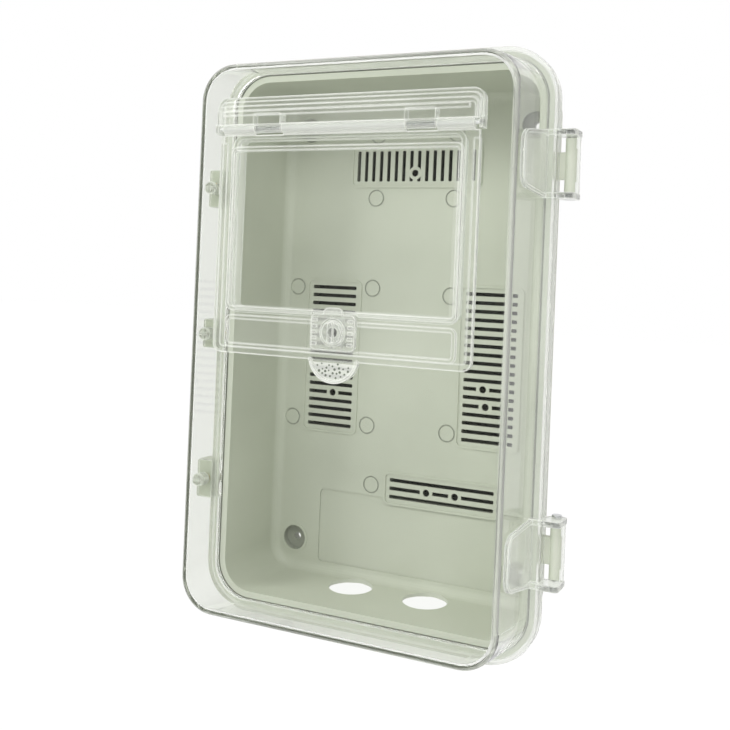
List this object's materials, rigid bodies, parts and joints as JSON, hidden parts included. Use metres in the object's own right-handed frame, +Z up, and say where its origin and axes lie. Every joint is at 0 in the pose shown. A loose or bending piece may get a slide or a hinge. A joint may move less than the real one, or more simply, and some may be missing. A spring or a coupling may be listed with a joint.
{
  "type": "hinged polycarbonate enclosure",
  "caption": "Wall-hung moulded enclosure with a deep clear hinged lid, a clear window flap under a hood, seal lugs and slotted screw fields.",
  "frame": {"origin": "centre of the four wall fixing holes, on the wall plane", "axes": "+Z up, the front faces -Y, +X to the right seen from the front"},
  "size_m": [0.2214, 0.1116, 0.3208],
  "materials": {
    "abs_tray": "satin",
    "clear_lid": "gloss",
    "clear_flap": "gloss",
    "clear_fitting": "gloss",
    "gasket": "matte",
    "window_gasket": "satin",
    "brass": "satin",
    "steel": "satin",
    "screw_plastic": "satin",
    "washer_nylon": "satin"
  },
  "bodies": {
    "tray": {"base_tray": "abs_tray", "rim_gasket": "gasket", "lug_inserts": "brass"},
    "lid": {"lid_shell": "clear_lid", "hinge_bracket_upper": "clear_fitting", "hinge_bracket_lower": "clear_fitting", "hinge_pin_upper": "steel", "hinge_pin_lower": "steel", "window_hood": "clear_fitting", "window_seal": "window_gasket", "window_hinge_rod": "steel", "seal_washers": "washer_nylon"},
    "flap": {"window_flap": "clear_flap", "latch_block": "clear_fitting"},
    "latch": {"latch_knob": "clear_fitting", "latch_cam": "steel", "latch_screw": "steel"},
    "screw_upper": {"seal_screw_upper": "screw_plastic"},
    "screw_middle": {"seal_screw_middle": "screw_plastic"},
    "screw_lower": {"seal_screw_lower": "screw_plastic"}
  },
  "joints": [
    {"name": "lid_hinge", "type": "hinge", "parent": "tray", "child": "lid", "pos_m": [0.1062, -0.0555, 0], "axis": [0, 0, 1], "range_deg": [0, 150]},
    {"name": "window_hinge", "type": "hinge", "parent": "lid", "child": "flap", "pos_m": [0, -0.1058, 0.1144], "axis": [-1, 0, 0], "range_deg": [0, 100]},
    {"name": "window_latch", "type": "hinge", "parent": "flap", "child": "latch", "pos_m": [0, -0.1065, 0.00825], "axis": [0, 1, 0], "range_deg": [0, 90]},
    {"name": "seal_screw_upper_turn", "type": "hinge", "parent": "lid", "child": "screw_upper", "pos_m": [-0.1055, -0.065, 0.086], "axis": [0, 1, 0], "continuous": true},
    {"name": "seal_screw_middle_turn", "type": "hinge", "parent": "lid", "child": "screw_middle", "pos_m": [-0.1055, -0.065, 0], "axis": [0, 1, 0], "continuous": true},
    {"name": "seal_screw_lower_turn", "type": "hinge", "parent": "lid", "child": "screw_lower", "pos_m": [-0.1055, -0.065, -0.086], "axis": [0, 1, 0], "continuous": true}
  ]
}
